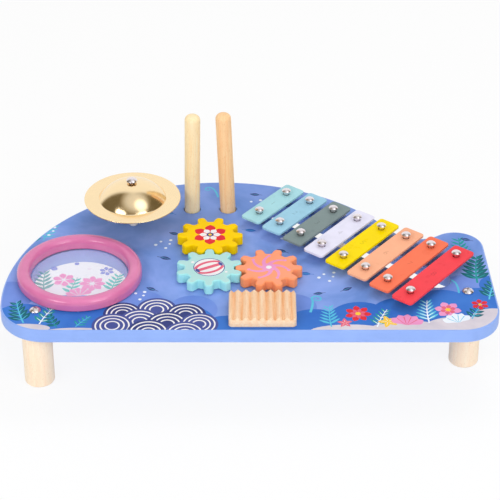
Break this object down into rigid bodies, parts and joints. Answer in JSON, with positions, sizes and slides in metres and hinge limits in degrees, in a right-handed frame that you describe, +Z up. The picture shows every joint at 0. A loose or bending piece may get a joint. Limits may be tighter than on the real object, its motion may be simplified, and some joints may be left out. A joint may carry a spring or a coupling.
{
  "type": "musical activity table",
  "caption": "Low wooden play table whose shaped top carries a drum, a cymbal, meshing gears, a ribbed scraper block, a slanting row of metal keys and standing beaters.",
  "frame": {"origin": "on the floor under the middle of the board's box", "axes": "+X to the right end with the longest key, +Y to the back, +Z up"},
  "size_m": [0.4434, 0.2477, 0.18],
  "materials": {
    "board_paint": "satin printed paint on plywood",
    "leg_wood": "clear matt lacquer",
    "stick_wood": "smooth sanded hardwood",
    "guiro_wood": "sanded hardwood",
    "ring_paint": "satin paint",
    "skin_film": "clear printed film",
    "cymbal_brass": "polished",
    "nickel": "bright nickel plate",
    "zinc": "zinc plate",
    "spacer_nylon": "moulded nylon",
    "slip_nylon": "moulded nylon",
    "spindle_wood": "plain beech dowel",
    "felt": "pressed felt",
    "gear_yellow_paint": "satin printed paint",
    "gear_mint_paint": "satin printed paint",
    "gear_orange_paint": "satin printed paint",
    "key_1_paint": "satin enamel",
    "key_2_paint": "satin enamel",
    "key_3_paint": "satin enamel",
    "key_4_paint": "satin enamel",
    "key_5_paint": "satin enamel",
    "key_6_paint": "satin enamel",
    "key_7_paint": "satin enamel",
    "key_8_paint": "satin enamel"
  },
  "bodies": {
    "table": {"table_board": "board_paint", "leg_front_left": "leg_wood", "leg_front_right": "leg_wood", "leg_back_left": "leg_wood", "leg_back_right": "leg_wood", "leg_screws": "nickel", "drum_ring": "ring_paint", "drum_skin": "skin_film", "drum_ring_screws": "zinc", "cymbal_spacer": "spacer_nylon", "cymbal_screw": "nickel", "cymbal_nut": "zinc", "gear_slip_washers": "slip_nylon", "guiro_block": "guiro_wood", "guiro_screws": "zinc", "key_pins": "nickel", "key_cushions": "felt"},
    "mint_gear": {"gear_mint": "gear_mint_paint", "gear_mint_spindle": "spindle_wood", "gear_mint_washer": "zinc", "gear_mint_screw": "zinc"},
    "yellow_gear": {"gear_yellow": "gear_yellow_paint", "gear_yellow_spindle": "spindle_wood", "gear_yellow_washer": "zinc", "gear_yellow_screw": "zinc"},
    "orange_gear": {"gear_orange": "gear_orange_paint", "gear_orange_spindle": "spindle_wood", "gear_orange_washer": "zinc", "gear_orange_screw": "zinc"},
    "cymbal_rocker": {"cymbal_felt": "felt"},
    "cymbal": {"cymbal_plate": "cymbal_brass"},
    "bar_1": {"key_1": "key_1_paint"},
    "bar_2": {"key_2": "key_2_paint"},
    "bar_3": {"key_3": "key_3_paint"},
    "bar_4": {"key_4": "key_4_paint"},
    "bar_5": {"key_5": "key_5_paint"},
    "bar_6": {"key_6": "key_6_paint"},
    "bar_7": {"key_7": "key_7_paint"},
    "bar_8": {"key_8": "key_8_paint"},
    "left_stick": {"stick_left": "stick_wood"},
    "right_stick": {"stick_right": "stick_wood"}
  },
  "joints": [
    {"name": "mint_gear_turn", "type": "hinge", "parent": "table", "child": "mint_gear", "pos_m": [-0.03627, -0.03963, 0.076], "axis": [0, 0, 1], "continuous": true},
    {"name": "yellow_gear_turn", "type": "hinge", "parent": "table", "child": "yellow_gear", "pos_m": [-0.03627, 0.01437, 0.076], "axis": [0, 0, 1], "continuous": true},
    {"name": "orange_gear_turn", "type": "hinge", "parent": "table", "child": "orange_gear", "pos_m": [0.01773, -0.03963, 0.076], "axis": [0, 0, 1], "continuous": true},
    {"name": "cymbal_rock", "type": "hinge", "parent": "table", "child": "cymbal_rocker", "pos_m": [-0.10925, 0.04887, 0.1185], "axis": [1, 0, 0], "range_deg": [-5, 5]},
    {"name": "cymbal_turn", "type": "hinge", "parent": "cymbal_rocker", "child": "cymbal", "pos_m": [-0.10925, 0.04887, 0.1185], "axis": [0, 0, 1], "continuous": true},
    {"name": "key_1_lift", "type": "slide", "parent": "table", "child": "bar_1", "axis": [0, 0, 1], "range_m": [0, 0.0027]},
    {"name": "key_2_lift", "type": "slide", "parent": "table", "child": "bar_2", "axis": [0, 0, 1], "range_m": [0, 0.0027]},
    {"name": "key_3_lift", "type": "slide", "parent": "table", "child": "bar_3", "axis": [0, 0, 1], "range_m": [0, 0.0027]},
    {"name": "key_4_lift", "type": "slide", "parent": "table", "child": "bar_4", "axis": [0, 0, 1], "range_m": [0, 0.0027]},
    {"name": "key_5_lift", "type": "slide", "parent": "table", "child": "bar_5", "axis": [0, 0, 1], "range_m": [0, 0.0027]},
    {"name": "key_6_lift", "type": "slide", "parent": "table", "child": "bar_6", "axis": [0, 0, 1], "range_m": [0, 0.0027]},
    {"name": "key_7_lift", "type": "slide", "parent": "table", "child": "bar_7", "axis": [0, 0, 1], "range_m": [0, 0.0027]},
    {"name": "key_8_lift", "type": "slide", "parent": "table", "child": "bar_8", "axis": [0, 0, 1], "range_m": [0, 0.0027]},
    {"name": "left_stick_lift", "type": "slide", "parent": "table", "child": "left_stick", "axis": [0.0175, -0.0227, 0.9996], "range_m": [0, 0.04]},
    {"name": "right_stick_lift", "type": "slide", "parent": "table", "child": "right_stick", "axis": [-0.0384, 0.007, 0.9992], "range_m": [0, 0.04]}
  ],
  "couplings": [
    {"joint": "yellow_gear_turn", "follows": "mint_gear_turn", "ratio": -1},
    {"joint": "orange_gear_turn", "follows": "mint_gear_turn", "ratio": -1}
  ]
}
